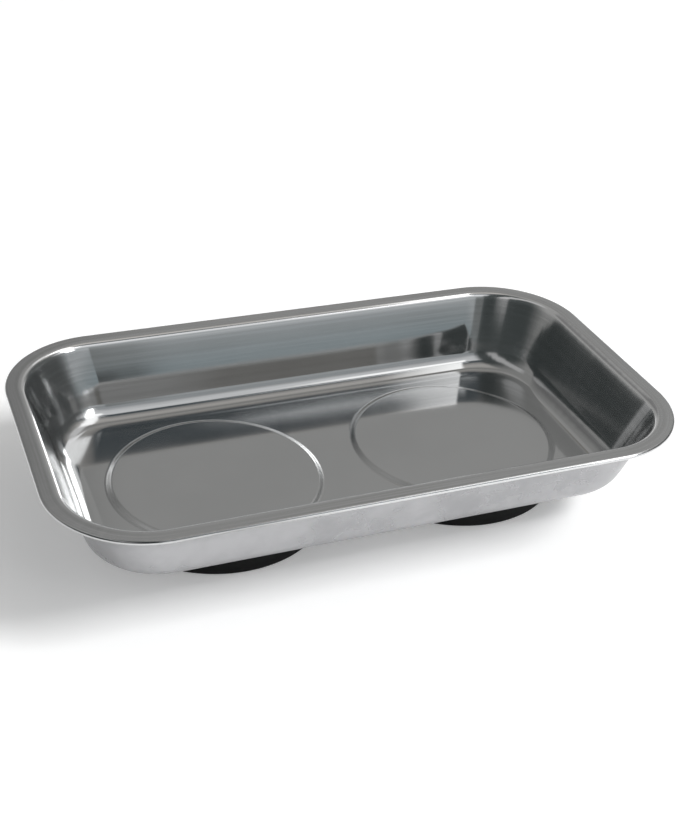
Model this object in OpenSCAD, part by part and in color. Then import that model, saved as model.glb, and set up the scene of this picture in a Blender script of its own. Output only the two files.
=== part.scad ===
// Magnetic parts tray: a pressed stainless tray on two ring magnets in rubber boots.
// Lengths are millimetres. The origin lies on the surface that the tray stands on, under the
// middle of the tray, with +X along the tray, +Y across it and +Z up.

/* [Tray] */
// Length over the rim
tray_length = 240; // [230:1:320]
// Width over the rim
tray_width = 140; // [132:1:200]
// Depth from the top of the rim to the floor
tray_depth = 29.7; // [22:0.1:38]
// Thickness of the steel sheet
sheet = 0.6; // [0.4:0.05:0.9]
// Outer corner radius of the rim, seen from above
rim_corner_radius = 37; // [32:0.5:48]
// Corner radius of the flat floor, seen from above
floor_corner_radius = 21; // [14:0.5:27]
// Width of the flat rim, from its outer edge to the bend into the wall
rim_width = 4.9; // [4.4:0.1:8]
// Radius of the bend from the rim into the wall, on the upper face
rim_bend_radius = 3; // [1.5:0.1:4.5]
// Lean of the walls from upright, in degrees
wall_lean = 19.5; // [12:0.5:26]
// Radius between wall and floor, on the upper face
floor_fillet = 9; // [4:0.1:11]
// Gap inside the folded edge of the rim
hem_gap = 0.6; // [0.2:0.05:1]
// Length that the folded edge runs back under the rim
hem_return = 2.6; // [1:0.1:3]
// Height of the raised round seat over each magnet
seat_rise = 1; // [0.3:0.05:1.5]
// Width of the slope round each raised seat
seat_slope = 2.8; // [1:0.1:3.5]

/* [Magnets] */
// Distance between the centres of the two magnets
magnet_spacing = 98.5; // [90:0.5:106]
// Outer diameter of each ring magnet
magnet_diameter = 76; // [64:0.5:80]
// Bore of each ring magnet
magnet_bore = 32; // [26:0.5:44]
// Thickness of each ring magnet
magnet_thickness = 9; // [8.5:0.1:14]
// Chamfer on the edges of each ring magnet
magnet_chamfer = 0.5; // [0.2:0.1:1.2]
// Thickness of the pressed plate under each magnet
plate_thickness = 1.5; // [0.8:0.1:2]
// Gap between the plate's dished middle and the flange of the weld stud
dish_gap = 2.2; // [0.5:0.1:2.6]

/* [Boots] */
// Wall of each rubber boot
boot_wall = 4; // [2:0.1:5]
// Thickness of the rubber under each plate
boot_floor = 2.8; // [2:0.1:4]
// Rounding of the lower outer edge of each boot
boot_edge_radius = 1.2; // [0.4:0.1:1.9]
// Rounding of the upper outer edge of each boot and of its inner lower edge
boot_lip_radius = 0.5; // [0.2:0.05:0.9]
// Thickness of the collar round the nut's well
collar_thickness = 1.8; // [1:0.1:3]
// Height of the collar above the rubber floor
collar_height = 3; // [1:0.1:4]

/* [Fasteners] */
// Diameter of each weld stud
stud_diameter = 5; // [4:0.1:6]
// Diameter of the stud's welded flange
stud_flange_diameter = 9; // [7:0.1:12]
// Thickness of the stud's welded flange
stud_flange_height = 0.8; // [0.4:0.1:1.5]
// Length of stud that stands out of the nut
stud_end = 0.8; // [0.3:0.1:1.2]
// Chamfer on the end of each stud
stud_chamfer = 0.5; // [0.2:0.1:0.8]
// Width of each nut across its flats
nut_width = 8; // [7:0.1:10]
// Height of each nut
nut_height = 4; // [3:0.1:4.5]
// Diameter of each plain washer
washer_diameter = 10; // [8:0.1:14]
// Thickness of each plain washer
washer_thickness = 1; // [0.5:0.1:1.5]
// Diameter of each spring washer
spring_washer_diameter = 9.2; // [7:0.1:12]
// Thickness of each spring washer
spring_washer_thickness = 1.2; // [0.8:0.1:1.6]
// Width of the cut through each spring washer
spring_washer_cut = 1.2; // [0.5:0.1:2]

/* [Clearances] */
// Gap between a magnet and the foot of the slope round its seat
seat_clearance = 0.6; // [0.2:0.1:1.5]
// Gap between a magnet and the boot round it
boot_clearance = 0.2; // [0.1:0.05:0.5]
// Gap between the plate's dished middle and the magnet's bore
bore_clearance = 0.3; // [0.1:0.05:0.8]
// Gap between a boot's collar and the plate's dished middle
collar_clearance = 0.2; // [0.1:0.05:0.8]
// Gap round a stud where it passes through the plate and the washers
hole_clearance = 0.25; // [0.1:0.05:0.5]
// Gap between the stud and the bore of its nut
thread_clearance = 0.05; // [0.02:0.01:0.2]

/* [Hidden] */
SIDES = ["left", "right"];
PIECES = ["boot", "backing_plate", "magnet", "weld_stud", "washer", "spring_washer", "nut"];
NODES = concat(["tray"], [for (side = SIDES, piece = PIECES) str(side, "_", piece)]);
node = "all";

// Length by which a cut runs past the solid that it cuts
overrun = 1;
// Sides of a round shape
$fn = 96;
// Steps round each corner of the tray
corner_steps = 12;
// Steps in each bend of the sheet
bend_steps = 5;
// Steps in the fold of the hem
hem_steps = 6;
// Steps down the slope of a raised seat
slope_steps = 8;

// Heights, from the standing surface up
plate_top = boot_floor + plate_thickness;
seat_under = plate_top + magnet_thickness;
floor_under = seat_under - seat_rise;
floor_top = floor_under + sheet;
rim_top = floor_top + tray_depth;

// Tray section
hem_radius = sheet + hem_gap / 2;
wall_drop = tray_depth - (rim_bend_radius + floor_fillet) * (1 - sin(wall_lean));
wall_top_inset = rim_width + rim_bend_radius * cos(wall_lean);
floor_inset = wall_top_inset + wall_drop * tan(wall_lean) + floor_fillet * cos(wall_lean);

// Magnet bases
magnet_radius = magnet_diameter / 2;
seat_flat_radius = magnet_radius + seat_clearance;
seat_radius = seat_flat_radius + seat_slope;
boot_inner_radius = magnet_radius + boot_clearance;
boot_radius = boot_inner_radius + boot_wall;
dish_radius = magnet_bore / 2 - bore_clearance;
dish_well_radius = dish_radius - plate_thickness;
dish_top = seat_under - stud_flange_height - dish_gap;
collar_outer_radius = dish_well_radius - collar_clearance;
collar_inner_radius = collar_outer_radius - collar_thickness;

// Fastener stack, downwards from the dished middle of the plate
stud_radius = stud_diameter / 2;
hole_radius = stud_radius + hole_clearance;
washer_base = dish_top - plate_thickness - washer_thickness;
spring_washer_base = washer_base - spring_washer_thickness;
nut_base = spring_washer_base - nut_height;
stud_tip = nut_base - stud_end;

// Points of an arc about a centre, from one angle to another
function arc(centre, radius, from, to, steps) = [
    for (step = [0:steps])
        let (angle = from + (to - from) * step / steps)
        centre + radius * [cos(angle), sin(angle)]
];

// Corner radius of the tray's outline at an inset from the rim's edge.
// The rim is concentric, and the walls run from its radius to that of the floor.
function outline_corner(inset) =
    let (wall_corner = rim_corner_radius - wall_top_inset)
    let (wall_share = (inset - wall_top_inset) / (floor_inset - wall_top_inset))
    inset <= wall_top_inset
        ? rim_corner_radius - inset
        : wall_corner + (floor_corner_radius - wall_corner) * wall_share;

// Outline of the tray at an inset and a height, corner by corner from +X round to +Y
function outline(inset, height) =
    let (radius = outline_corner(inset))
    let (reach_x = tray_length / 2 - inset - radius)
    let (reach_y = tray_width / 2 - inset - radius)
    [
        for (corner = [[1, 1], [-1, 1], [-1, -1], [1, -1]], step = [0:corner_steps])
            let (start = corner.y > 0 ? (corner.x > 0 ? 0 : 90) : (corner.x < 0 ? 180 : 270))
            let (angle = start + 90 * step / corner_steps)
            [corner.x * reach_x + radius * cos(angle), corner.y * reach_y + radius * sin(angle), height]
    ];

// Section of the sheet as insets and heights: up the inner face from the floor to the rim,
// round the folded edge, and back down the outer face
function tray_section() =
    let (fillet_centre = [floor_inset, floor_top + floor_fillet])
    let (bend_centre = [rim_width, rim_top - rim_bend_radius])
    let (hem_centre = [hem_radius, rim_top - hem_radius])
    let (hem_end = hem_radius + hem_return)
    let (hem_base = rim_top - 2 * hem_radius)
    concat(
        arc(fillet_centre, floor_fillet, 270, 180 + wall_lean, bend_steps),
        arc(bend_centre, rim_bend_radius, wall_lean, 90, bend_steps),
        arc(hem_centre, hem_radius, 90, 270, hem_steps),
        [[hem_end, hem_base], [hem_end, hem_base + sheet]],
        arc(hem_centre, hem_radius - sheet, 270, 90, hem_steps),
        arc(bend_centre, rim_bend_radius - sheet, 90, wall_lean, bend_steps),
        arc(fillet_centre, floor_fillet + sheet, 180 + wall_lean, 270, bend_steps)
    );

// The tray before its seats are pressed
module plain_tray() {
    rings = [for (point = tray_section()) outline(point.x, point.y)];
    ring_count = len(rings);
    ring_size = len(rings[0]);
    sides = [
        for (ring = [0:ring_count - 2], step = [0:ring_size - 1])
            let (here = ring * ring_size + step)
            let (next = ring * ring_size + (step + 1) % ring_size)
            each [[here, here + ring_size, next + ring_size], [here, next + ring_size, next]]
    ];
    floor_face = [for (step = [ring_size - 1:-1:0]) step];
    under_face = [for (step = [0:ring_size - 1]) (ring_count - 1) * ring_size + step];
    polyhedron([for (ring = rings) each ring], concat(sides, [floor_face, under_face]));
}

// Section of a raised seat above a level, from its middle to the foot of its slope
function seat_section(level) = concat(
    [[0, level + seat_rise]],
    [
        for (step = [0:slope_steps])
            let (share = step / slope_steps)
            [seat_flat_radius + seat_slope * share, level + seat_rise * (1 + cos(180 * share)) / 2]
    ]
);

// What a raised seat adds to the floor, from the middle of the sheet up
module seat_cap() {
    base = floor_under + sheet / 2;
    rotate_extrude()
        polygon(concat(seat_section(floor_top), [[seat_radius, base], [0, base]]));
}

// The hollow under a raised seat
module seat_recess() {
    base = floor_under - overrun;
    rotate_extrude()
        polygon(concat(seat_section(floor_under), [[seat_radius, base], [0, base]]));
}

module tray() {
    color("silver")
        difference() {
            union() {
                plain_tray();
                for (side = SIDES)
                    at_base(side)
                        seat_cap();
            }
            for (side = SIDES)
                at_base(side)
                    seat_recess();
        }
}

module boot() {
    edge = [boot_radius - boot_edge_radius, boot_edge_radius];
    upper_lip = [boot_radius - boot_lip_radius, floor_under - boot_lip_radius];
    well_lip = [collar_inner_radius + boot_lip_radius, boot_lip_radius];
    color([0.07, 0.07, 0.07])
        rotate_extrude()
            polygon(concat(
                arc(edge, boot_edge_radius, -90, 0, bend_steps),
                arc(upper_lip, boot_lip_radius, 0, 90, bend_steps),
                [
                    [boot_inner_radius, floor_under],
                    [boot_inner_radius, boot_floor],
                    [collar_outer_radius, boot_floor],
                    [collar_outer_radius, boot_floor + collar_height],
                    [collar_inner_radius, boot_floor + collar_height]
                ],
                arc(well_lip, boot_lip_radius, 180, 270, bend_steps)
            ));
}

module backing_plate() {
    // The bend's inner radius ends at the magnet's bore
    inner_bend = bore_clearance;
    outer_bend = inner_bend + plate_thickness;
    mouth = [dish_radius + inner_bend, plate_top + inner_bend];
    crown = [dish_radius - outer_bend, dish_top - outer_bend];
    color("lightsteelblue")
        rotate_extrude()
            polygon(concat(
                [[magnet_radius, boot_floor], [magnet_radius, plate_top]],
                arc(mouth, inner_bend, 270, 180, bend_steps),
                arc(crown, outer_bend, 0, 90, bend_steps),
                [[hole_radius, dish_top], [hole_radius, dish_top - plate_thickness]],
                arc(crown, inner_bend, 90, 0, bend_steps),
                arc(mouth, outer_bend, 180, 270, bend_steps)
            ));
}

module magnet() {
    bore_radius = magnet_bore / 2;
    color("dimgray")
        rotate_extrude()
            polygon([
                [bore_radius, plate_top + magnet_chamfer],
                [bore_radius + magnet_chamfer, plate_top],
                [magnet_radius - magnet_chamfer, plate_top],
                [magnet_radius, plate_top + magnet_chamfer],
                [magnet_radius, seat_under - magnet_chamfer],
                [magnet_radius - magnet_chamfer, seat_under],
                [bore_radius + magnet_chamfer, seat_under],
                [bore_radius, seat_under - magnet_chamfer]
            ]);
}

module weld_stud() {
    color("gainsboro")
        rotate_extrude()
            polygon([
                [0, stud_tip],
                [stud_radius - stud_chamfer, stud_tip],
                [stud_radius, stud_tip + stud_chamfer],
                [stud_radius, seat_under - stud_flange_height],
                [stud_flange_diameter / 2, seat_under - stud_flange_height],
                [stud_flange_diameter / 2, seat_under],
                [0, seat_under]
            ]);
}

// A flat ring round the stud
module stud_ring(diameter, thickness) {
    difference() {
        cylinder(d = diameter, h = thickness);
        translate([0, 0, -overrun])
            cylinder(r = hole_radius, h = thickness + 2 * overrun);
    }
}

module washer() {
    color("whitesmoke")
        translate([0, 0, washer_base])
            stud_ring(washer_diameter, washer_thickness);
}

module spring_washer() {
    color("darkgray")
        translate([0, 0, spring_washer_base])
            difference() {
                stud_ring(spring_washer_diameter, spring_washer_thickness);
                translate([0, -spring_washer_cut / 2, -overrun])
                    cube([spring_washer_diameter, spring_washer_cut, spring_washer_thickness + 2 * overrun]);
            }
}

module nut() {
    corner_radius = nut_width / 2 / cos(30);
    // The corners are cut back to the width of the flats at both ends
    corner_cut = corner_radius - nut_width / 2;
    color("lightgray")
        translate([0, 0, nut_base])
            difference() {
                intersection() {
                    cylinder(r = corner_radius, h = nut_height, $fn = 6);
                    rotate_extrude()
                        polygon([
                            [0, 0],
                            [nut_width / 2, 0],
                            [corner_radius, corner_cut * tan(30)],
                            [corner_radius, nut_height - corner_cut * tan(30)],
                            [nut_width / 2, nut_height],
                            [0, nut_height]
                        ]);
                }
                translate([0, 0, -overrun])
                    cylinder(r = stud_radius + thread_clearance, h = nut_height + 2 * overrun);
            }
}

// Places a shape on the axis of the left or right magnet base
module at_base(side) {
    translate([(side == "left" ? -1 : 1) * magnet_spacing / 2, 0, 0])
        children();
}

function drawn(name) = node == "all" || node == name;

if (drawn("tray")) tray();
for (side = SIDES) {
    if (drawn(str(side, "_boot"))) at_base(side) boot();
    if (drawn(str(side, "_backing_plate"))) at_base(side) backing_plate();
    if (drawn(str(side, "_magnet"))) at_base(side) magnet();
    if (drawn(str(side, "_weld_stud"))) at_base(side) weld_stud();
    if (drawn(str(side, "_washer"))) at_base(side) washer();
    if (drawn(str(side, "_spring_washer"))) at_base(side) spring_washer();
    if (drawn(str(side, "_nut"))) at_base(side) nut();
}
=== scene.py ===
"""Looks of a magnetic parts tray: a pressed stainless pan on two rubber booted magnet bases."""
import math

import bmesh
import bpy
from mathutils import Matrix, Vector


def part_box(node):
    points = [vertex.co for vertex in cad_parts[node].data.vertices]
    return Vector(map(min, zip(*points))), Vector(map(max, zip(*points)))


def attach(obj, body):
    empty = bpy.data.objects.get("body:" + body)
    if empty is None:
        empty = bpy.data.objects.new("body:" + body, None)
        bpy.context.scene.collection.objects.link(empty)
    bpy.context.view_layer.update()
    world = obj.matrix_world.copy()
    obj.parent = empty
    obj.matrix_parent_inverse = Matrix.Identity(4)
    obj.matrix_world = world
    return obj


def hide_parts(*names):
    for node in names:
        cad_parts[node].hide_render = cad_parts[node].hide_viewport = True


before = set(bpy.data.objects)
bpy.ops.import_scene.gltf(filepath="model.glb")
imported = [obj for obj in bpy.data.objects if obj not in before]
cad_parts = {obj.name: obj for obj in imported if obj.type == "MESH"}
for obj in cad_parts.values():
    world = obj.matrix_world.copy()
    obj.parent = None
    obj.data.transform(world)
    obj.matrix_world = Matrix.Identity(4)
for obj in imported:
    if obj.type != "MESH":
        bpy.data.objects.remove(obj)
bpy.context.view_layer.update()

MM = 0.001
SIDES = ("left", "right")

# Tray sizes that the frame gives
TRAY_LOW, TRAY_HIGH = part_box("tray")
HALF_LENGTH = TRAY_HIGH.x
HALF_WIDTH = TRAY_HIGH.y
RIM_TOP = TRAY_HIGH.z
FLOOR_UNDER = TRAY_LOW.z

# Sheet of the tray, with its lean and flare in degrees
SHEET = 0.6 * MM
FLOOR_TOP = FLOOR_UNDER + SHEET
RIM_CORNER = 37 * MM
FLOOR_CORNER = 21 * MM
RIM_WIDTH = 4.9 * MM
RIM_BEND = 3 * MM
WALL_LEAN = 19.5
WALL_FLARE = 2.1
FLOOR_FILLET = 9 * MM
HEM_RADIUS = 0.9 * MM
HEM_RETURN = 2.6 * MM
SEAT_FLAT_RADIUS = 38.6 * MM
SEAT_SLOPE = 2.8 * MM
SEAT_RISE = 1 * MM
# Width of the flat strip that holds the floor level beside a bend
LEVEL_STRIP = 0.5 * MM

LEAN_SIN = math.sin(math.radians(WALL_LEAN))
LEAN_COS = math.cos(math.radians(WALL_LEAN))
LEAN_TAN = math.tan(math.radians(WALL_LEAN))
WALL_DROP = RIM_TOP - FLOOR_TOP - (RIM_BEND + FLOOR_FILLET) * (1 - LEAN_SIN)
WALL_TOP_INSET = RIM_WIDTH + RIM_BEND * LEAN_COS
FLOOR_INSET = WALL_TOP_INSET + WALL_DROP * LEAN_TAN + FLOOR_FILLET * LEAN_COS

# Magnet bases, alike on both sides: sizes that the frame gives
BOOT_LOW, BOOT_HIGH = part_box("left_boot")
PLATE_LOW, PLATE_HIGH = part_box("left_backing_plate")
MAGNET_LOW, MAGNET_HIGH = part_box("left_magnet")
STUD_LOW, STUD_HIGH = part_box("left_weld_stud")
NUT_LOW, NUT_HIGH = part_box("left_nut")
BOOT_RADIUS = (BOOT_HIGH.x - BOOT_LOW.x) / 2
MAGNET_RADIUS = (MAGNET_HIGH.x - MAGNET_LOW.x) / 2
FLANGE_RADIUS = (STUD_HIGH.x - STUD_LOW.x) / 2
NUT_CORNER_RADIUS = (NUT_HIGH.x - NUT_LOW.x) / 2
NUT_FLAT_RADIUS = (NUT_HIGH.y - NUT_LOW.y) / 2
PLATE_TOP = MAGNET_LOW.z
PLATE_THICKNESS = PLATE_TOP - PLATE_LOW.z

# Rubber boots
BOOT_INNER_RADIUS = 38.2 * MM
BOOT_EDGE_RADIUS = 1.2 * MM
BOOT_LIP_RADIUS = 0.5 * MM
COLLAR_OUTER_RADIUS = 14 * MM
COLLAR_INNER_RADIUS = 12.2 * MM
COLLAR_HEIGHT = 3 * MM
MOULD_LINE_HEIGHT = 7.2 * MM
MOULD_LINE_WIDTH = 0.5 * MM
MOULD_LINE_DEPTH = 0.12 * MM

# Pressed plates and fasteners, with angles in degrees
DISH_RADIUS = 15.7 * MM
DISH_BEND = 0.3 * MM
HOLE_RADIUS = 2.75 * MM
EDGE_ROUNDING = 0.16 * MM
STUD_RADIUS = 2.5 * MM
STUD_CHAMFER = 0.5 * MM
FLANGE_HEIGHT = 0.8 * MM
THREAD_PITCH = 0.8 * MM
THREAD_DEPTH = 0.45 * MM
THREAD_FLAT_SHARE = 0.15
# Turns of thread that are cut off again, one at each end
SPARE_TURNS = 2
NUT_BORE_RADIUS = 2.55 * MM
NUT_BORE_CHAMFER = 0.35 * MM
NUT_CORNER_ANGLE = 30
NUT_SIDES = 6
SPRING_WASHER_CUT = 1.2 * MM
SPRING_WASHER_SLANT = 12

# Steps in the round stretches, and shares at which the straight ones are divided
CORNER_STEPS = 40
BEND_STEPS = 14
WALL_STEPS = 12
SLOPE_STEPS = 16
SEAT_STEPS = 160
BASE_STEPS = 128
FASTENER_STEPS = 48
ROUNDING_STEPS = 5
RIM_SHARES = (0.9, 0.5, 0.1)
STRAIGHT_SHARES = (0.8, 0.55, 0.3, 0.0)

# Gaps under which the points of a mesh are joined
MERGE_GAP = 0.002 * MM
MIRROR_GAP = 0.001 * MM
THREAD_GAP = 0.01 * MM
# Angle in degrees from which an edge is shaded sharp
CREASE = 35
NUT_CREASE = 20
# Height of a face's normal below which the face looks down
DOWNWARDS = -0.1


def feed(tree, made, inputs):
    """Set or link the inputs of a shader node."""
    for name, value in inputs.items():
        if isinstance(value, bpy.types.NodeSocket):
            tree.links.new(value, made.inputs[name])
        else:
            made.inputs[name].default_value = value


def node(tree, kind, settings=None, inputs=None):
    """Add a shader node with its settings and inputs."""
    made = tree.nodes.new("ShaderNode" + kind)
    for name, value in (settings or {}).items():
        setattr(made, name, value)
    feed(tree, made, inputs or {})
    return made


def math_node(tree, operation, first, second=0.0):
    """Result of a two value Math node."""
    return node(tree, "Math", {"operation": operation}, {0: first, 1: second}).outputs[0]


def times(tree, first, second):
    """Product of two values."""
    return math_node(tree, "MULTIPLY", first, second)


def inverse(tree, share):
    """What a share leaves of one."""
    return math_node(tree, "SUBTRACT", 1.0, share)


def vector(tree, x, y, z=0.0):
    """Three values joined into a vector."""
    return node(tree, "CombineXYZ", None, {"X": x, "Y": y, "Z": z}).outputs[0]


def spread(tree, value, low, high, to_low, to_high):
    """A value mapped smoothly from one range to another, held at its ends."""
    inputs = {"Value": value, "From Min": low, "From Max": high, "To Min": to_low, "To Max": to_high}
    return node(tree, "MapRange", {"interpolation_type": "SMOOTHSTEP"}, inputs).outputs["Result"]


def window(tree, value, limits, softness):
    """One between two limits and zero outside them, with soft edges."""
    rise = spread(tree, value, limits[0] - softness, limits[0] + softness, 0.0, 1.0)
    fall = spread(tree, value, limits[1] - softness, limits[1] + softness, 1.0, 0.0)
    return times(tree, rise, fall)


def tint(tree, share, first, second):
    """A mix of two colours by a share."""
    inputs = {0: share, 6: first, 7: second}
    return node(tree, "Mix", {"data_type": "RGBA"}, inputs).outputs[2]


def noise(tree, where, scale, detail=2.0, roughness=0.5):
    """Value of a noise texture."""
    inputs = {"Vector": where, "Scale": scale, "Detail": detail, "Roughness": roughness}
    return node(tree, "TexNoise", None, inputs).outputs["Fac"]


def stretched_noise(tree, first, second, scales, detail=2.0):
    """Noise over two lengths that each have a scale of their own."""
    where = vector(tree, times(tree, first, scales[0]), times(tree, second, scales[1]))
    return noise(tree, where, 1.0, detail, roughness=0.55)


def relief(tree, height, depth, normal=None, strength=1.0):
    """Normal of a surface with a height pressed into it."""
    inputs = {"Height": height, "Distance": depth, "Strength": strength}
    if normal is not None:
        inputs["Normal"] = normal
    return node(tree, "Bump", None, inputs).outputs["Normal"]


def effect(name, inputs, outputs):
    """A new shader node group with its sockets, and its input and output nodes."""
    tree = bpy.data.node_groups.new(name, "ShaderNodeTree")
    for socket, kind in inputs:
        tree.interface.new_socket(socket, in_out="INPUT", socket_type="NodeSocket" + kind)
    for socket, kind in outputs:
        tree.interface.new_socket(socket, in_out="OUTPUT", socket_type="NodeSocket" + kind)
    return tree, tree.nodes.new("NodeGroupInput").outputs, tree.nodes.new("NodeGroupOutput").inputs


# Noise values between which a blotch rises from nothing to full
BLOTCH_LIMITS = (0.3, 0.7)


def haze_effect():
    """Soft blotches over a surface, from zero to one."""
    tree, given, out = effect("haze", [("Vector", "Vector"), ("Scale", "Float")], [("Value", "Float")])
    blotch = noise(tree, given["Vector"], given["Scale"], detail=4.0, roughness=0.55)
    tree.links.new(spread(tree, blotch, *BLOTCH_LIMITS, 0.0, 1.0), out["Value"])
    return tree


def grain_effect():
    """Fine drawn lines along X, as a height."""
    sockets = [("Vector", "Vector"), ("Lines", "Float"), ("Length", "Float")]
    tree, given, out = effect("grain", sockets, [("Height", "Float")])
    stretch = vector(tree, given["Length"], given["Lines"], given["Lines"])
    inputs = {0: given["Vector"], 1: stretch}
    along = node(tree, "VectorMath", {"operation": "MULTIPLY"}, inputs).outputs[0]
    tree.links.new(noise(tree, along, 1.0, roughness=0.6), out["Height"])
    return tree


HAZE = haze_effect()
GRAIN = grain_effect()


def haze(tree, where, scale):
    """Value of the haze, placed in a material."""
    inputs = {"Vector": where, "Scale": scale}
    return node(tree, "Group", {"node_tree": HAZE}, inputs).outputs["Value"]


def grain(tree, where, lines, length):
    """Height of the grain, placed in a material."""
    inputs = {"Vector": where, "Lines": lines, "Length": length}
    return node(tree, "Group", {"node_tree": GRAIN}, inputs).outputs["Height"]


def attribute(tree, name):
    """Value that the tray's mesh carries at its vertices."""
    return node(tree, "Attribute", {"attribute_name": name}).outputs["Fac"]


def new_material(name):
    """An empty material with its shader and its Object coordinates."""
    material = bpy.data.materials.new(name)
    material.use_nodes = True
    tree = material.node_tree
    shader = tree.nodes["Principled BSDF"]
    where = node(tree, "TexCoord").outputs["Object"]
    return material, tree, shader, where


def clouded_finish(name, blotches, colours, roughness):
    """A material whose colour and roughness drift in soft blotches."""
    material, tree, shader, where = new_material(name)
    cloud = haze(tree, where, blotches)
    feed(tree, shader, {
        "Base Color": tint(tree, cloud, *colours),
        "Roughness": spread(tree, cloud, 0.0, 1.0, *roughness),
    })
    return material, tree, shader, where


def arc(centre, radius, start, end, steps):
    """Points of an arc in a section, between two angles in degrees."""
    angles = [math.radians(start + (end - start) * step / steps) for step in range(steps + 1)]
    return [
        (centre[0] + radius * math.cos(angle), centre[1] + radius * math.sin(angle))
        for angle in angles
    ]


def flared(start, end, start_lean, end_lean):
    """Points of a wall between two bends, whose lean from upright changes steadily along it."""
    steps = WALL_STEPS
    rise = end[1] - start[1]
    lean_shift = (end[0] - start[0]) / rise
    leans = [start_lean + (end_lean - start_lean) * step / steps for step in range(steps + 1)]
    slopes = [math.tan(math.radians(lean)) for lean in leans]
    mean_slope = sum(slopes[1:-1] + [(slopes[0] + slopes[-1]) / 2]) / steps
    inset = start[0]
    points = []
    for step in range(1, steps):
        inset += (lean_shift + mean_slope - (slopes[step - 1] + slopes[step]) / 2) * rise / steps
        points.append((inset, start[1] + rise * step / steps))
    return points


def corner_radius(inset):
    """Corner radius of the tray's outline at an inset from the edge of the rim."""
    if inset <= WALL_TOP_INSET:
        return RIM_CORNER - inset
    if inset >= FLOOR_INSET:
        return FLOOR_CORNER - (inset - FLOOR_INSET)
    wall_corner = RIM_CORNER - WALL_TOP_INSET
    wall_width = FLOOR_INSET - WALL_TOP_INSET
    return wall_corner + (FLOOR_CORNER - wall_corner) * (inset - WALL_TOP_INSET) / wall_width


def inner_face():
    """Section of the polished side: up the wall, over the rim and round the hem."""
    fillet_end = 180 + WALL_LEAN - WALL_FLARE
    fillet = arc((FLOOR_INSET, FLOOR_TOP + FLOOR_FILLET), FLOOR_FILLET, 270, fillet_end, BEND_STEPS)
    wall_end = WALL_LEAN + WALL_FLARE
    bend = arc((RIM_WIDTH, RIM_TOP - RIM_BEND), RIM_BEND, wall_end, 90, BEND_STEPS)
    wall = flared(fillet[-1], bend[0], WALL_LEAN - WALL_FLARE, WALL_LEAN + WALL_FLARE)
    hem = arc((HEM_RADIUS, RIM_TOP - HEM_RADIUS), HEM_RADIUS, 90, 270, 2 * BEND_STEPS)
    rim = [(HEM_RADIUS + (RIM_WIDTH - HEM_RADIUS) * share, RIM_TOP) for share in RIM_SHARES]
    edge = [(HEM_RADIUS + HEM_RETURN, RIM_TOP - 2 * HEM_RADIUS)]
    strip = [(FLOOR_INSET + LEVEL_STRIP, FLOOR_TOP)]
    return strip + fillet + wall + bend + rim + hem + edge


def outer_face():
    """Section of the dull side: out of the hem, under the rim and down the wall to the floor."""
    edge = [(HEM_RADIUS + HEM_RETURN, RIM_TOP - 2 * HEM_RADIUS + SHEET)]
    hem = arc((HEM_RADIUS, RIM_TOP - HEM_RADIUS), HEM_RADIUS - SHEET, 270, 90, BEND_STEPS)
    wall_start = WALL_LEAN + WALL_FLARE
    bend = arc((RIM_WIDTH, RIM_TOP - RIM_BEND), RIM_BEND - SHEET, 90, wall_start, BEND_STEPS)
    centre = (FLOOR_INSET, FLOOR_TOP + FLOOR_FILLET)
    fillet_start = 180 + WALL_LEAN - WALL_FLARE
    fillet = arc(centre, FLOOR_FILLET + SHEET, fillet_start, 270, BEND_STEPS)
    wall = flared(bend[-1], fillet[0], WALL_LEAN + WALL_FLARE, WALL_LEAN - WALL_FLARE)
    strip = [(FLOOR_INSET + LEVEL_STRIP, FLOOR_UNDER)]
    return edge + hem + bend + wall + fillet + strip


def seat_face(level):
    """Section of a raised seat: from its middle, down its slope, to the level floor."""
    slope = []
    for step in range(SLOPE_STEPS + 1):
        share = step / SLOPE_STEPS
        lift = SEAT_RISE * (1 + math.cos(math.pi * share)) / 2
        slope.append((SEAT_FLAT_RADIUS + SEAT_SLOPE * share, level + lift))
    middle = [(0, level + SEAT_RISE), (SEAT_FLAT_RADIUS - LEVEL_STRIP, level + SEAT_RISE)]
    return middle + slope + [(SEAT_FLAT_RADIUS + SEAT_SLOPE + LEVEL_STRIP, level)]


def section_length(points):
    """Length along the points of a section."""
    return sum(math.dist(*pair) for pair in zip(points, points[1:]))


def base_centre(side):
    """Axis of a magnet base, at the height of the standing surface."""
    low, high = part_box(side + "_magnet")
    return Vector(((low.x + high.x) / 2, (low.y + high.y) / 2, 0))


# Length of the polished side's section, up to the free edge of the hem
INNER_LENGTH = section_length(inner_face())

# Polished stainless: where each stretch of the tray begins and is full, along the section or in place
WALL_BLEND = (2 * MM, 9 * MM)
HEM_FACE = 2.5 * MM
HEM_START = INNER_LENGTH - HEM_RETURN - HEM_FACE
HEM_BLEND = (HEM_START, HEM_START + 0.5 * MM)
RIM_BLEND = (RIM_TOP - 0.35 * MM, RIM_TOP - 0.05 * MM)
BEND_BLEND = (RIM_TOP - RIM_BEND, RIM_TOP - RIM_BEND / 2)
END_BLEND = (HALF_LENGTH - RIM_CORNER, HALF_LENGTH - WALL_TOP_INSET)
# Span along X over which the hem's painted shade runs in from the left end
HEM_PAINTED_SHADE_SPAN = (-70 * MM, 0.0)
SLOPE_SOFTNESS = 0.3 * MM
# Polished stainless: colours, with those of the hem from bright to dull, which are a painted highlight
# at the right and painted shade at the left; the bend's colour is a painted highlight
POLISHED_COLOURS = ((0.60, 0.605, 0.605, 1), (0.635, 0.64, 0.64, 1))
HEM_PAINTED_LIGHT_AND_SHADE = ((0.80, 0.80, 0.80, 1), (0.30, 0.30, 0.30, 1))
STREAK_COLOUR = (0.70, 0.705, 0.71, 1)
# Painted highlight along the rim's bend
BEND_PAINTED_HIGHLIGHT = (0.96, 0.96, 0.96, 1)
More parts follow.
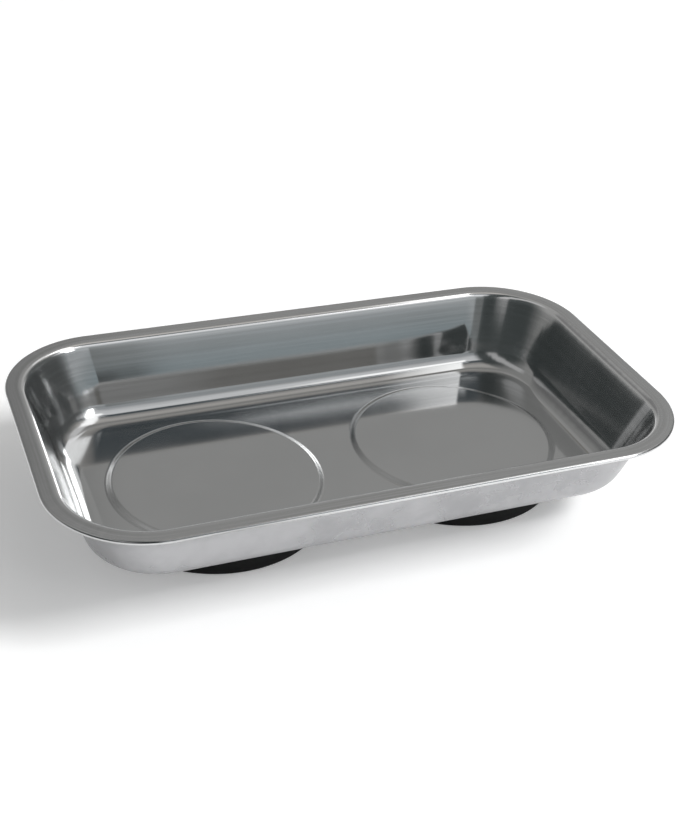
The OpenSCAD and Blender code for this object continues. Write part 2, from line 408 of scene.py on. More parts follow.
# Polished stainless: roughness, what drawing adds to it, and the sheen on the slopes of the seats
POLISHED_ROUGHNESS = (0.05, 0.09)
DRAWN_ROUGHNESS = 0.09
SLOPE_ROUGHNESS = 0.18
RIM_ROUGHNESS = 0.26
COAT_WEIGHTS = (0.05, 0.30)
COAT_ROUGHNESS = 0.38
COAT_IOR = 3.0
# Polished stainless: scales of its patterns, one over a metre, and the depths of its reliefs
POLISHED_BLOTCHES = 22.0
STREAK_SCALES = (700.0, 10.0)
STREAK_LIMITS = (0.35, 0.70)
WAVE_SCALE = 26.0
WAVE_DEPTH = 0.04 * MM
PUCKER_SCALES = (170.0, 9.0)
PUCKER_DEPTH = 0.09 * MM
MARK_SCALES = (700.0, 12.0)
MARK_DEPTH = 0.015 * MM
FORMING_SCALES = (1200.0, 12.0)
FORMING_DEPTH = 0.002 * MM
PEEL_SCALE = 800.0
PEEL_DEPTH = 0.03 * MM
POLISHED_LINES = (2600.0, 60.0)
POLISHED_LINE_DEPTH = 0.0007 * MM


def tray_masks(tree, where):
    """Masks of the stretches of the tray's inside, by name."""
    parts = node(tree, "SeparateXYZ", None, {0: where}).outputs
    across = attribute(tree, "across")
    reach = math_node(tree, "ABSOLUTE", parts["X"])
    wall = spread(tree, across, *WALL_BLEND, 0.0, 1.0)
    rim = spread(tree, parts["Z"], *RIM_BLEND, 0.0, 1.0)
    hem = spread(tree, across, *HEM_BLEND, 0.0, 1.0)
    bend = times(tree, spread(tree, parts["Z"], *BEND_BLEND, 0.0, 1.0), inverse(tree, rim))
    end = spread(tree, reach, *END_BLEND, 0.0, 1.0)
    drawn = math_node(tree, "MAXIMUM", attribute(tree, "corner"), end)
    past_axis = math_node(tree, "SUBTRACT", reach, abs(base_centre("left").x))
    from_axis = {0: vector(tree, past_axis, parts["Y"])}
    radius = node(tree, "VectorMath", {"operation": "LENGTH"}, from_axis).outputs["Value"]
    slope_limits = (SEAT_FLAT_RADIUS, SEAT_FLAT_RADIUS + SEAT_SLOPE)
    slope = window(tree, radius, slope_limits, SLOPE_SOFTNESS)
    return {
        "wall": wall,
        "rim": rim,
        "hem": hem,
        "bend": times(tree, bend, inverse(tree, hem)),
        "drawn": times(tree, drawn, wall),
        "slope": times(tree, slope, inverse(tree, wall)),
        # Painted shade on the hem: full at the left end, gone by the middle
        "dull": spread(tree, parts["X"], *HEM_PAINTED_SHADE_SPAN, 1.0, 0.0),
    }


def polished_colour(tree, masks, cloud):
    """Colour of the polished side: streaked walls, a painted highlight on the bend, and a hem with a
    painted highlight that turns to painted shade at the left.
    """
    across = attribute(tree, "across")
    along = attribute(tree, "along")
    # The hem's colour is painted light: a painted highlight to the right, turning to painted shade at
    # the left end
    painted_hem_tone = tint(tree, masks["dull"], *HEM_PAINTED_LIGHT_AND_SHADE)
    colour = tint(tree, masks["hem"], tint(tree, cloud, *POLISHED_COLOURS), painted_hem_tone)
    streaks = stretched_noise(tree, across, along, STREAK_SCALES, detail=3.0)
    streaks = spread(tree, times(tree, streaks, masks["wall"]), *STREAK_LIMITS, 0.0, 1.0)
    colour = tint(tree, streaks, colour, STREAK_COLOUR)
    # Painted highlight along the rim's bend
    return tint(tree, masks["bend"], colour, BEND_PAINTED_HIGHLIGHT)


def polished_roughness(tree, masks, cloud):
    """Roughness of the polished side: higher in the corners, on the seats' slopes and on the rim."""
    rough = spread(tree, cloud, 0.0, 1.0, *POLISHED_ROUGHNESS)
    rough = math_node(tree, "ADD", rough, times(tree, masks["drawn"], DRAWN_ROUGHNESS))
    rough = math_node(tree, "ADD", rough, times(tree, masks["slope"], SLOPE_ROUGHNESS))
    return node(tree, "Mix", None, {0: masks["rim"], 2: rough, 3: RIM_ROUGHNESS}).outputs[0]


def polished_relief(tree, masks, where):
    """Normal of the polished side: slow waves, and the marks that drawing and rolling leave."""
    across = attribute(tree, "across")
    along = attribute(tree, "along")
    wave = noise(tree, where, WAVE_SCALE, detail=1.0, roughness=0.4)
    puckers = stretched_noise(tree, along, across, PUCKER_SCALES, detail=1.0)
    marks = stretched_noise(tree, along, across, MARK_SCALES)
    forming = stretched_noise(tree, across, along, FORMING_SCALES)
    peel = noise(tree, where, PEEL_SCALE)
    normal = relief(tree, wave, WAVE_DEPTH)
    normal = relief(tree, times(tree, puckers, masks["drawn"]), PUCKER_DEPTH, normal)
    normal = relief(tree, times(tree, marks, masks["drawn"]), MARK_DEPTH, normal)
    normal = relief(tree, times(tree, forming, masks["wall"]), FORMING_DEPTH, normal)
    normal = relief(tree, times(tree, peel, masks["slope"]), PEEL_DEPTH, normal)
    return relief(tree, grain(tree, where, *POLISHED_LINES), POLISHED_LINE_DEPTH, normal)


def polished_stainless():
    """Bright drawn finish of the inside of the tray, with a sheen on the slopes of the seats, painted
    highlights on its bend and hem, and painted shade on the hem's left end.
    """
    material, tree, shader, where = new_material("polished_stainless")
    masks = tray_masks(tree, where)
    cloud = haze(tree, where, POLISHED_BLOTCHES)
    feed(tree, shader, {
        "Metallic": 1.0,
        "Base Color": polished_colour(tree, masks, cloud),
        "Roughness": polished_roughness(tree, masks, cloud),
        "Normal": polished_relief(tree, masks, where),
        "Coat Weight": spread(tree, masks["slope"], 0.0, 1.0, *COAT_WEIGHTS),
        "Coat Roughness": COAT_ROUGHNESS,
        "Coat IOR": COAT_IOR,
    })
    return material


# Hazy stainless
HAZY_BLOTCHES = 55.0
HAZY_COLOURS = ((0.385, 0.385, 0.395, 1), (0.50, 0.50, 0.51, 1))
HAZY_ROUGHNESS = (0.24, 0.36)
HAZY_LINES = (1800.0, 90.0)
HAZY_LINE_DEPTH = 0.004 * MM


def hazy_stainless():
    """Dull rolled finish of the outside of the tray."""
    finish = clouded_finish("hazy_stainless", HAZY_BLOTCHES, HAZY_COLOURS, HAZY_ROUGHNESS)
    material, tree, shader, where = finish
    lines = grain(tree, where, *HAZY_LINES)
    feed(tree, shader, {"Metallic": 1.0, "Normal": relief(tree, lines, HAZY_LINE_DEPTH)})
    return material


# Moulded rubber
RUBBER_BLOTCHES = 90.0
RUBBER_COLOURS = ((0.006, 0.0063, 0.0063, 1), (0.011, 0.0115, 0.0115, 1))
RUBBER_ROUGHNESS = (0.48, 0.62)
RUBBER_SHINE = 0.14
PORE_SCALE = 1400.0
PORE_DEPTH = 0.05 * MM
PORE_STRENGTH = 0.6


def moulded_rubber():
    """Black rubber with a fine moulded skin."""
    finish = clouded_finish("moulded_rubber", RUBBER_BLOTCHES, RUBBER_COLOURS, RUBBER_ROUGHNESS)
    material, tree, shader, where = finish
    pores = noise(tree, where, PORE_SCALE, roughness=0.6)
    skin = relief(tree, pores, PORE_DEPTH, strength=PORE_STRENGTH)
    feed(tree, shader, {"Specular IOR Level": RUBBER_SHINE, "Normal": skin})
    return material


# Zinc plating
ZINC_BLOTCHES = 160.0
ZINC_COLOURS = ((0.55, 0.57, 0.60, 1), (0.66, 0.66, 0.64, 1))
ZINC_ROUGHNESS = (0.28, 0.42)
PIT_SCALE = 900.0
PIT_DEPTH = 0.01 * MM
PIT_STRENGTH = 0.6


def zinc_plating():
    """Bright zinc on pressed and turned steel, with a faint bluish bloom."""
    finish = clouded_finish("zinc_plating", ZINC_BLOTCHES, ZINC_COLOURS, ZINC_ROUGHNESS)
    material, tree, shader, where = finish
    pits = noise(tree, where, PIT_SCALE, detail=3.0, roughness=0.6)
    skin = relief(tree, pits, PIT_DEPTH, strength=PIT_STRENGTH)
    feed(tree, shader, {"Metallic": 1.0, "Normal": skin})
    return material


# Ground ferrite
FERRITE_BLOTCHES = 120.0
FERRITE_COLOURS = ((0.045, 0.045, 0.048, 1), (0.085, 0.085, 0.09, 1))
FERRITE_ROUGHNESS = (0.38, 0.55)
FERRITE_LINES = (2200.0, 120.0)
FERRITE_LINE_DEPTH = 0.01 * MM


def ground_ferrite():
    """Dark grey ceramic with ground faces."""
    finish = clouded_finish("ground_ferrite", FERRITE_BLOTCHES, FERRITE_COLOURS, FERRITE_ROUGHNESS)
    material, tree, shader, where = finish
    lines = grain(tree, where, *FERRITE_LINES)
    feed(tree, shader, {"Normal": relief(tree, lines, FERRITE_LINE_DEPTH)})
    return material


def made_mesh(name, bm):
    """Turn a bmesh into a mesh, and free it."""
    mesh = bpy.data.meshes.new(name)
    bm.to_mesh(mesh)
    bm.free()
    return mesh


def add_object(name, data):
    """Put a new object into the scene."""
    made = bpy.data.objects.new(name, data)
    bpy.context.scene.collection.objects.link(made)
    return made


def everything(bm):
    """All vertices, edges and faces of a bmesh."""
    return bm.verts[:] + bm.edges[:] + bm.faces[:]


def open_edges(bm):
    """Edges of a bmesh that have a face on one side only."""
    return [edge for edge in bm.edges if edge.is_boundary]


def chain(bm, points, closed=False):
    """Vertices and edges along a section, as radius and height."""
    verts = [bm.verts.new((radius, 0, height)) for radius, height in points]
    edges = [bm.edges.new(pair) for pair in zip(verts, verts[1:])]
    if closed:
        edges.append(bm.edges.new((verts[-1], verts[0])))
    return verts, edges


def spun(bm, points, steps, centre, closed=False):
    """Turn a section all the way round an upright axis."""
    verts, edges = chain(bm, points, closed)
    bmesh.ops.translate(bm, verts=verts, vec=centre)
    bmesh.ops.spin(bm, geom=verts + edges, cent=centre, axis=(0, 0, 1), angle=2 * math.pi,
                   steps=steps, use_merge=True)


def smooth_piece(name, bm, materials, crease=CREASE):
    """Finish a mesh: merge, face outwards, shade smooth with sharp creases, and make its object."""
    bmesh.ops.remove_doubles(bm, verts=bm.verts, dist=MERGE_GAP)
    bmesh.ops.recalc_face_normals(bm, faces=bm.faces)
    for face in bm.faces:
        face.smooth = True
    for edge in bm.edges:
        edge.smooth = edge.calc_face_angle(0) < math.radians(crease)
    mesh = made_mesh(name, bm)
    for material in materials:
        mesh.materials.append(material)
    piece = add_object(name, mesh)
    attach(piece, "root")
    return piece


def round_the_tray(point, inset):
    """How far a point lies round the outline from the middle of a long side, and into a corner."""
    radius = corner_radius(inset)
    past_x = abs(point.x) - (HALF_LENGTH - inset - radius)
    past_y = abs(point.y) - (HALF_WIDTH - inset - radius)
    long_side = HALF_LENGTH - RIM_CORNER
    if past_x <= 0:
        return abs(point.x), 0
    if past_y <= 0:
        return long_side + RIM_CORNER * math.pi / 2 - past_y, 0
    angle = math.atan2(past_x, past_y)
    return long_side + RIM_CORNER * angle, math.sin(2 * angle)


def tray_walls(bm):
    """Walls, rim and hem: one corner spun, its sides drawn out, then mirrored twice."""
    inset_of = bm.verts.layers.float.new("inset")
    across_of = bm.verts.layers.float.new("across")
    section = inner_face() + outer_face()
    verts, edges = chain(bm, [(corner_radius(inset), height) for inset, height in section])
    across = 0
    for vert, point, previous in zip(verts, section, section[:1] + section):
        across += math.dist(point, previous)
        vert[inset_of] = point[0]
        vert[across_of] = across
    turned = bmesh.ops.spin(bm, geom=verts + edges, axis=(0, 0, 1), angle=math.pi / 2,
                            steps=CORNER_STEPS)
    far_edges = [part for part in turned["geom_last"] if isinstance(part, bmesh.types.BMEdge)]
    for vert in bm.verts:
        inset = vert[inset_of]
        to_centre = Vector((1, 1, 0)) * (inset + corner_radius(inset))
        vert.co += Vector((HALF_LENGTH, HALF_WIDTH, 0)) - to_centre
    for side_edges, axis in ((edges, 1), (far_edges, 0)):
        start = {vert[inset_of]: vert.co[axis] for edge in side_edges for vert in edge.verts}
        for share in STRAIGHT_SHARES:
            drawn = bmesh.ops.extrude_edge_only(bm, edges=side_edges)["geom"]
            side_edges = [part for part in drawn if isinstance(part, bmesh.types.BMEdge)]
            for vert in drawn:
                if isinstance(vert, bmesh.types.BMVert):
                    vert.co[axis] = start[vert[inset_of]] * share
    for axis in ("X", "Y"):
        bmesh.ops.mirror(bm, geom=everything(bm), axis=axis, merge_dist=MIRROR_GAP)
    along_of = bm.verts.layers.float.new("along")
    corner_of = bm.verts.layers.float.new("corner")
    for vert in bm.verts:
        vert[along_of], vert[corner_of] = round_the_tray(vert.co, vert[inset_of])


def raised_seats():
    """Both faces of the two raised seats in the floor."""
    bm = bmesh.new()
    for side in SIDES:
        for level in (FLOOR_TOP, FLOOR_UNDER):
            spun(bm, seat_face(level), SEAT_STEPS, base_centre(side))
    return made_mesh("raised_seats", bm)


def pressed_tray(materials):
    """The tray: a floor with two raised seats, walls, rim and hem, polished inside and hazy outside."""
    bm = bmesh.new()
    tray_walls(bm)
    seats = raised_seats()
    bm.from_mesh(seats)
    bpy.data.meshes.remove(seats)
    bmesh.ops.remove_doubles(bm, verts=bm.verts, dist=MERGE_GAP)
    floor_edges = open_edges(bm)
    for level in (FLOOR_TOP, FLOOR_UNDER):
        outline = [edge for edge in floor_edges if abs(edge.verts[0].co.z - level) < SHEET / 4]
        bmesh.ops.triangle_fill(bm, edges=outline, use_beauty=True, normal=(0, 0, 1))
    bmesh.ops.recalc_face_normals(bm, faces=bm.faces)
    across_of = bm.verts.layers.float["across"]
    under_level = FLOOR_TOP + SEAT_RISE - SHEET / 2
    for face in bm.faces:
        past_hem = max(vert[across_of] for vert in face.verts) > INNER_LENGTH
        under = face.normal.z < DOWNWARDS and face.calc_center_median().z < under_level
        face.material_index = 1 if past_hem or under else 0
    piece = smooth_piece("stainless_tray", bm, materials)
    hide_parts("tray")


def base_piece(side, name, bm, material, crease=CREASE):
    """Finish one piece of a magnet base, which stands for the CAD node of the same name."""
    node_name = side + "_" + name
    piece = smooth_piece("dressed_" + node_name, bm, [material], crease)
    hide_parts(node_name)


def rubber_boot(side, material):
    """Moulded cup round a magnet, with a mould line on its wall and a collar round the nut's well."""
    bm = bmesh.new()
    top = BOOT_HIGH.z
    floor = PLATE_LOW.z
    edge = (BOOT_RADIUS - BOOT_EDGE_RADIUS, BOOT_EDGE_RADIUS)
    lip = (BOOT_RADIUS - BOOT_LIP_RADIUS, top - BOOT_LIP_RADIUS)
    well = (COLLAR_INNER_RADIUS + BOOT_LIP_RADIUS, BOOT_LIP_RADIUS)
    mould_line = [
        (BOOT_RADIUS, MOULD_LINE_HEIGHT - MOULD_LINE_WIDTH),
        (BOOT_RADIUS - MOULD_LINE_DEPTH, MOULD_LINE_HEIGHT - MOULD_LINE_WIDTH / 2),
        (BOOT_RADIUS - MOULD_LINE_DEPTH, MOULD_LINE_HEIGHT + MOULD_LINE_WIDTH / 2),
        (BOOT_RADIUS, MOULD_LINE_HEIGHT + MOULD_LINE_WIDTH),
    ]
    inside = [
        (BOOT_INNER_RADIUS, top),
        (BOOT_INNER_RADIUS, floor),
        (COLLAR_OUTER_RADIUS, floor),
        (COLLAR_OUTER_RADIUS, floor + COLLAR_HEIGHT),
        (COLLAR_INNER_RADIUS, floor + COLLAR_HEIGHT),
    ]
    section = arc(edge, BOOT_EDGE_RADIUS, -90, 0, BEND_STEPS) + mould_line
    section += arc(lip, BOOT_LIP_RADIUS, 0, 90, ROUNDING_STEPS) + inside
    section += arc(well, BOOT_LIP_RADIUS, 180, 270, ROUNDING_STEPS)
    spun(bm, section, BASE_STEPS, base_centre(side), closed=True)
    base_piece(side, "boot", bm, material)


def backing_plate(side, material):
    """Pressed steel plate under a magnet, dished upwards in the middle."""
    bm = bmesh.new()
    bottom = PLATE_LOW.z
    top = PLATE_HIGH.z
    outer_bend = DISH_BEND + PLATE_THICKNESS
    mouth = (DISH_RADIUS + DISH_BEND, PLATE_TOP + DISH_BEND)
    crown = (DISH_RADIUS - outer_bend, top - outer_bend)
    rounding = EDGE_ROUNDING
    section = arc((MAGNET_RADIUS - rounding, bottom + rounding), rounding, -90, 0, ROUNDING_STEPS)
    section += arc((MAGNET_RADIUS - rounding, PLATE_TOP - rounding), rounding, 0, 90, ROUNDING_STEPS)
    section += arc(mouth, DISH_BEND, 270, 180, ROUNDING_STEPS)
    section += arc(crown, outer_bend, 0, 90, BEND_STEPS)
    section += [(HOLE_RADIUS, top), (HOLE_RADIUS, top - PLATE_THICKNESS)]
    section += arc(crown, DISH_BEND, 90, 0, ROUNDING_STEPS)
    section += arc(mouth, outer_bend, 180, 270, BEND_STEPS)
    spun(bm, section, BASE_STEPS, base_centre(side), closed=True)
    base_piece(side, "backing_plate", bm, material)


def stamped_ring(bm, side, name):
    """Flat ring round a stud, with edges rounded by the stamping."""
    low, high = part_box(side + "_" + name)
    rounding = EDGE_ROUNDING
    outer = (high.y - low.y) / 2 - rounding
    inner = HOLE_RADIUS + rounding
    bottom = low.z + rounding
    top = high.z - rounding
    section = arc((outer, bottom), rounding, -90, 0, ROUNDING_STEPS)
    section += arc((outer, top), rounding, 0, 90, ROUNDING_STEPS)
    section += arc((inner, top), rounding, 90, 180, ROUNDING_STEPS)
    section += arc((inner, bottom), rounding, 180, 270, ROUNDING_STEPS)
    spun(bm, section, FASTENER_STEPS, base_centre(side), closed=True)


def plain_washer(side, material):
    """Stamped washer under the dish of a plate."""
    bm = bmesh.new()
    stamped_ring(bm, side, "washer")
    base_piece(side, "washer", bm, material)


def spring_washer(side, material):
    """Split ring between washer and nut, cut through on a slant."""
    bm = bmesh.new()
    stamped_ring(bm, side, "spring_washer")
    centre = base_centre(side)
    low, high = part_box(side + "_spring_washer")
    slant = math.radians(SPRING_WASHER_SLANT)
    across = Vector((0, math.cos(slant), math.sin(slant)))
    middle = centre + Vector((0, 0, (low.z + high.z) / 2))
    for way in (-1, 1):
        faces = [face for face in bm.faces if face.calc_center_median().x > centre.x]
        geometry = set(faces)
        for face in faces:
            geometry.update(face.verts)
            geometry.update(face.edges)
        cut = middle + across * way * SPRING_WASHER_CUT / 2
        bmesh.ops.bisect_plane(bm, geom=list(geometry), plane_co=cut, plane_no=across)
    waste = []
    for face in bm.faces:
        offset = face.calc_center_median() - middle
        if offset.x > 0 and abs(offset.dot(across)) < SPRING_WASHER_CUT / 2:
            waste.append(face)
    bmesh.ops.delete(bm, geom=waste, context="FACES")
    bmesh.ops.holes_fill(bm, edges=open_edges(bm))
    base_piece(side, "spring_washer", bm, material)


def hexagon_nut(side, material):
    """Nut turned with cut corners and a chamfered bore, then cut to its flats."""
    bm = bmesh.new()
    low = NUT_LOW.z
    high = NUT_HIGH.z
    corner_cut = (NUT_CORNER_RADIUS - NUT_FLAT_RADIUS) * math.tan(math.radians(NUT_CORNER_ANGLE))
    section = [
        (NUT_BORE_RADIUS + NUT_BORE_CHAMFER, low),
        (NUT_FLAT_RADIUS, low),
        (NUT_CORNER_RADIUS, low + corner_cut),
        (NUT_CORNER_RADIUS, high - corner_cut),
        (NUT_FLAT_RADIUS, high),
        (NUT_BORE_RADIUS + NUT_BORE_CHAMFER, high),
        (NUT_BORE_RADIUS, high - NUT_BORE_CHAMFER),
        (NUT_BORE_RADIUS, low + NUT_BORE_CHAMFER),
    ]
    centre = base_centre(side)
    spun(bm, section, 2 * FASTENER_STEPS, centre, closed=True)
    bmesh.ops.recalc_face_normals(bm, faces=bm.faces)
    for flat in range(NUT_SIDES):
        angle = 2 * math.pi * (flat + 0.5) / NUT_SIDES
        outwards = Vector((math.cos(angle), math.sin(angle), 0))
        cut = centre + outwards * NUT_FLAT_RADIUS
        bmesh.ops.bisect_plane(bm, geom=everything(bm), plane_co=cut, plane_no=outwards,
                               clear_outer=True)
        bmesh.ops.holes_fill(bm, edges=open_edges(bm))
    base_piece(side, "nut", bm, material, NUT_CREASE)


def weld_stud(side, material):
    """Threaded stud with the flange that is welded to the seat."""
    bm = bmesh.new()
    centre = base_centre(side)
    tip = STUD_LOW.z
    flange = STUD_HIGH.z - FLANGE_HEIGHT
    turns = math.ceil((flange - tip) / THREAD_PITCH) + SPARE_TURNS
    start = tip - THREAD_PITCH
    root = STUD_RADIUS - THREAD_DEPTH
    flat = THREAD_PITCH * THREAD_FLAT_SHARE
    profile = [
        (root, start),
        (root, start + flat),
        (STUD_RADIUS, start + THREAD_PITCH / 2),
        (STUD_RADIUS, start + THREAD_PITCH / 2 + flat),
        (root, start + THREAD_PITCH),
    ]
    verts, edges = chain(bm, profile)
    bmesh.ops.translate(bm, verts=verts, vec=centre)
    bmesh.ops.spin(bm, geom=verts + edges, cent=centre, axis=(0, 0, 1), angle=2 * math.pi * turns,
                   dvec=(0, 0, THREAD_PITCH / FASTENER_STEPS), steps=FASTENER_STEPS * turns)
    bmesh.ops.remove_doubles(bm, verts=bm.verts, dist=THREAD_GAP)
    for level, way in ((tip, -1), (flange, 1)):
        bmesh.ops.bisect_plane(bm, geom=everything(bm), plane_co=(0, 0, level), plane_no=(0, 0, way),
                               clear_outer=True)
    bmesh.ops.holes_fill(bm, edges=open_edges(bm))
    for vert in bm.verts:
        reach = (vert.co - centre).to_2d().length
        limit = STUD_RADIUS - STUD_CHAMFER + (vert.co.z - tip)
        if reach > limit:
            vert.co.xy = centre.xy + (vert.co - centre).xy * limit / reach
    rim = [(0, flange), (FLANGE_RADIUS, flange), (FLANGE_RADIUS, STUD_HIGH.z), (0, STUD_HIGH.z)]
    spun(bm, rim, FASTENER_STEPS, centre)
    base_piece(side, "weld_stud", bm, material)


# Studio floor, a little below the boots, and the share of white that it shows by itself
FLOOR_RADIUS = 6.0
FLOOR_SIDES = 64
FLOOR_DROP = 0.05 * MM
FLOOR_COLOUR = (0.96, 0.96, 0.96, 1)
FLOOR_ROUGHNESS = 0.9
FLOOR_GLOW = 0.24
WHITE = (1, 1, 1, 1)


def studio_floor():
    """Wide pale floor that the tray stands on, which hides nothing from a camera below it."""
    bm = bmesh.new()
    bmesh.ops.create_circle(bm, cap_ends=True, segments=FLOOR_SIDES, radius=FLOOR_RADIUS)
    bmesh.ops.translate(bm, verts=bm.verts, vec=(0, 0, -FLOOR_DROP))
    mesh = made_mesh("studio_floor", bm)
    material, tree, shader, _ = new_material("white_board")
    rays = node(tree, "LightPath").outputs
    seen = math_node(tree, "MAXIMUM", rays["Is Camera Ray"], rays["Is Glossy Ray"])
    seen = math_node(tree, "MAXIMUM", seen, rays["Is Transmission Ray"])
    from_below = node(tree, "NewGeometry").outputs["Backfacing"]
    feed(tree, shader, {
        "Base Color": FLOOR_COLOUR,
        "Roughness": FLOOR_ROUGHNESS,
        "Specular IOR Level": 0.0,
        "Emission Color": WHITE,
        "Emission Strength": times(tree, seen, FLOOR_GLOW),
        "Alpha": inverse(tree, from_below),
    })
    mesh.materials.append(material)
    floor = add_object("studio_floor", mesh)


# Camera of the photograph, about the middle of the rim, with angles in degrees
PICTURE_HEIGHT = 820
FOCAL_PIXELS = 1327.7
SENSOR = 36
CAMERA_AZIMUTH = -22.9
CAMERA_ELEVATION = 31.59
CAMERA_ROLL = 3.58
CAMERA_DISTANCE = 493.7 * MM
CAMERA_TARGET = Vector((-4.54 * MM, -10.26 * MM, RIM_TOP - HEM_RADIUS))
CAMERA_NEAR = 10 * MM


def photo_camera():
    """Camera that stands where the photograph was taken from."""
    azimuth = math.radians(CAMERA_AZIMUTH)
    elevation = math.radians(CAMERA_ELEVATION)
    roll = math.radians(CAMERA_ROLL)
    level = math.cos(elevation)
    back = Vector((math.sin(azimuth) * level, -math.cos(azimuth) * level, math.sin(elevation)))
    flat_right = Vector((math.cos(azimuth), math.sin(azimuth), 0))
    flat_up = back.cross(flat_right)
    right = flat_right * math.cos(roll) + flat_up * math.sin(roll)
    up = flat_up * math.cos(roll) - flat_right * math.sin(roll)
    data = bpy.data.cameras.new("photo_camera")
    data.sensor_width = SENSOR
    data.lens = FOCAL_PIXELS * SENSOR / PICTURE_HEIGHT
    data.clip_start = CAMERA_NEAR
    camera = add_object("photo_camera", data)
    turn = Matrix((right, up, back)).transposed().to_4x4()
    camera.matrix_world = Matrix.Translation(CAMERA_TARGET + back * CAMERA_DISTANCE) @ turn
    bpy.context.scene.camera = camera


# Bands of the studio, from the front horizon over the top to the back one: angle in degrees, colour
STUDIO_BANDS = (
    (0, (2.20, 2.25, 2.30, 1)),
    (4, (1.80, 1.85, 1.90, 1)),
    (7, (0.26, 0.31, 0.33, 1)),
    (11, (0.30, 0.33, 0.34, 1)),
    (15, (0.43, 0.45, 0.46, 1)),
    (21, (0.33, 0.35, 0.36, 1)),
    (33, (0.34, 0.36, 0.37, 1)),
    (39, (0.46, 0.47, 0.48, 1)),
    (46, (0.66, 0.67, 0.68, 1)),
    (66.4, (0.70, 0.71, 0.72, 1)),
    (67.6, (0.055, 0.07, 0.075, 1)),
    (70, (0.075, 0.09, 0.10, 1)),
    (76, (0.10, 0.115, 0.125, 1)),
    (79, (0.28, 0.275, 0.27, 1)),
    (83, (0.34, 0.33, 0.32, 1)),
    (93, (0.49, 0.475, 0.455, 1)),
    (102, (0.43, 0.42, 0.40, 1)),
    (110, (0.25, 0.245, 0.24, 1)),
    (120, (0.37, 0.365, 0.36, 1)),
    (141, (0.36, 0.36, 0.355, 1)),
    (148, (0.345, 0.345, 0.34, 1)),
    (153, (0.315, 0.315, 0.31, 1)),
    (160, (0.34, 0.34, 0.335, 1)),
    (172, (0.34, 0.34, 0.335, 1)),
    (177, (0.80, 0.80, 0.80, 1)),
)
BANDS_END = 180
# Dim room to the left, in front and behind, and to the right, with the spans where they meet the bands
ROOM_FRONT = (0.058, 0.066, 0.066, 1)
ROOM_BACK = (0.29, 0.29, 0.285, 1)
ROOM_RIGHT = (0.085, 0.09, 0.09, 1)
ROOM_TURN = (-0.2, 0.4)
BANDS_FADE = (-0.08, 0.08)
RIGHT_FADE = (0.64, 0.88)
# Height over which the white backdrop behind the floor's edge ends in mirror images
BACKDROP_TOP = (0.0, 0.03)
# Panels in the studio: angles from the front horizon, span along X, softness of both, colour
PANELS = (
    ((-10, 9.5), (0.11, 0.195), (1.5, 0.015), (0.06, 0.065, 0.065, 1)),
    ((9.5, 24), (-0.05, 0.19), (3.0, 0.03), (0.19, 0.20, 0.20, 1)),
    ((138, 160), (-0.60, 0.13), (4.0, 0.05), (0.17, 0.17, 0.17, 1)),
    ((128, 139), (0.235, 0.37), (2.0, 0.03), (0.225, 0.218, 0.205, 1)),
    ((56, 66.8), (0.32, 0.50), (1.0, 0.05), (1.45, 1.45, 1.45, 1)),
    ((70.9, 73.3), (0.27, 0.50), (0.4, 0.06), (0.38, 0.39, 0.40, 1)),
    ((70.8, 71.8), (0.26, 0.50), (0.3, 0.05), (1.40, 1.42, 1.44, 1)),
    ((67.5, 104), (0.388, 0.62), (1.5, 0.028), (1.50, 1.50, 1.50, 1)),
    ((26, 116), (-0.60, -0.36), (6.0, 0.04), (0.48, 0.48, 0.48, 1)),
    ((104, 126), (0.48, 0.68), (3.0, 0.03), (0.68, 0.68, 0.68, 1)),
    ((24, 67), (0.505, 0.64), (3.0, 0.025), (4.80, 4.80, 4.80, 1)),
)


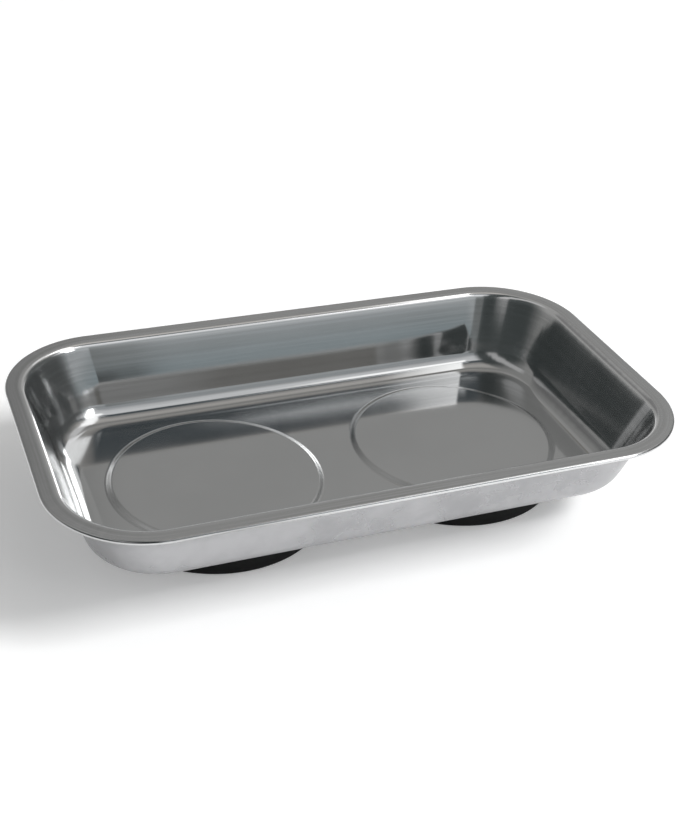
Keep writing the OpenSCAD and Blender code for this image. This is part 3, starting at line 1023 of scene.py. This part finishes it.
def studio_world():
    """Bands and panels over the tray, a dim room beside them, and a backdrop that is seen white."""
    world = bpy.data.worlds.new("studio")
    world.use_nodes = True
    tree = world.node_tree
    direction = node(tree, "TexCoord").outputs["Generated"]
    parts = node(tree, "SeparateXYZ", None, {0: direction}).outputs
    angle = math_node(tree, "ARCTAN2", parts["Z"], times(tree, parts["Y"], -1.0))
    bands = node(tree, "ValToRGB", None, {"Fac": math_node(tree, "DIVIDE", angle, math.pi)})
    stops = bands.color_ramp.elements
    for index, (degrees, colour) in enumerate(STUDIO_BANDS):
        position = degrees / BANDS_END
        stop = stops[index] if index < len(stops) else stops.new(position)
        stop.position = position
        stop.color = colour
    room = tint(tree, spread(tree, parts["Y"], *ROOM_TURN, 0.0, 1.0), ROOM_FRONT, ROOM_BACK)
    colour = tint(tree, spread(tree, parts["X"], *BANDS_FADE, 0.0, 1.0), room, bands.outputs["Color"])
    colour = tint(tree, spread(tree, parts["X"], *RIGHT_FADE, 0.0, 1.0), colour, ROOM_RIGHT)
    angle_degrees = times(tree, angle, math.degrees(1))
    for angles, span, softness, panel_colour in PANELS:
        high = window(tree, angle_degrees, angles, softness[0])
        wide = window(tree, parts["X"], span, softness[1])
        colour = tint(tree, times(tree, high, wide), colour, panel_colour)
    rays = node(tree, "LightPath").outputs
    mirrored = math_node(tree, "MAXIMUM", rays["Is Glossy Ray"], rays["Is Transmission Ray"])
    mirrored = times(tree, mirrored, spread(tree, parts["Z"], *BACKDROP_TOP, 1.0, 0.0))
    backdrop = math_node(tree, "MAXIMUM", rays["Is Camera Ray"], mirrored)
    feed(tree, tree.nodes["Background"], {"Color": tint(tree, backdrop, colour, WHITE)})
    bpy.context.scene.world = world


# Studio lamp, with the direction from the tray towards it, and its power in watts
LAMP_DIRECTION = Vector((0.64, -0.30, 0.70)).normalized()
LAMP_DISTANCE = 6.0
LAMP_LENGTH = 1.1
LAMP_WIDTH = 2.0
LAMP_POWER = 225


def studio_lamp():
    """Wide lamp above the right front of the tray, which mirrors don't show."""
    data = bpy.data.lights.new("studio_lamp", "AREA")
    data.shape = "RECTANGLE"
    data.size = LAMP_LENGTH
    data.size_y = LAMP_WIDTH
    data.energy = LAMP_POWER
    facing = LAMP_DIRECTION
    across = Vector((1, 0, 0))
    length_axis = (across - facing * across.dot(facing)).normalized()
    width_axis = facing.cross(length_axis)
    lamp = add_object("studio_lamp", data)
    lamp.visible_glossy = False
    turn = Matrix((length_axis, width_axis, facing)).transposed().to_4x4()
    lamp.matrix_world = Matrix.Translation(facing * LAMP_DISTANCE) @ turn


photo_camera()
studio_floor()
studio_world()
studio_lamp()

pressed_tray([polished_stainless(), hazy_stainless()])
rubber = moulded_rubber()
zinc = zinc_plating()
ferrite = ground_ferrite()
for side in SIDES:
    rubber_boot(side, rubber)
    backing_plate(side, zinc)
    plain_washer(side, zinc)
    spring_washer(side, zinc)
    hexagon_nut(side, zinc)
    weld_stud(side, zinc)
    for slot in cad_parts[side + "_magnet"].material_slots:
        slot.material = ferrite

bpy.context.scene.view_settings.view_transform = "Standard"
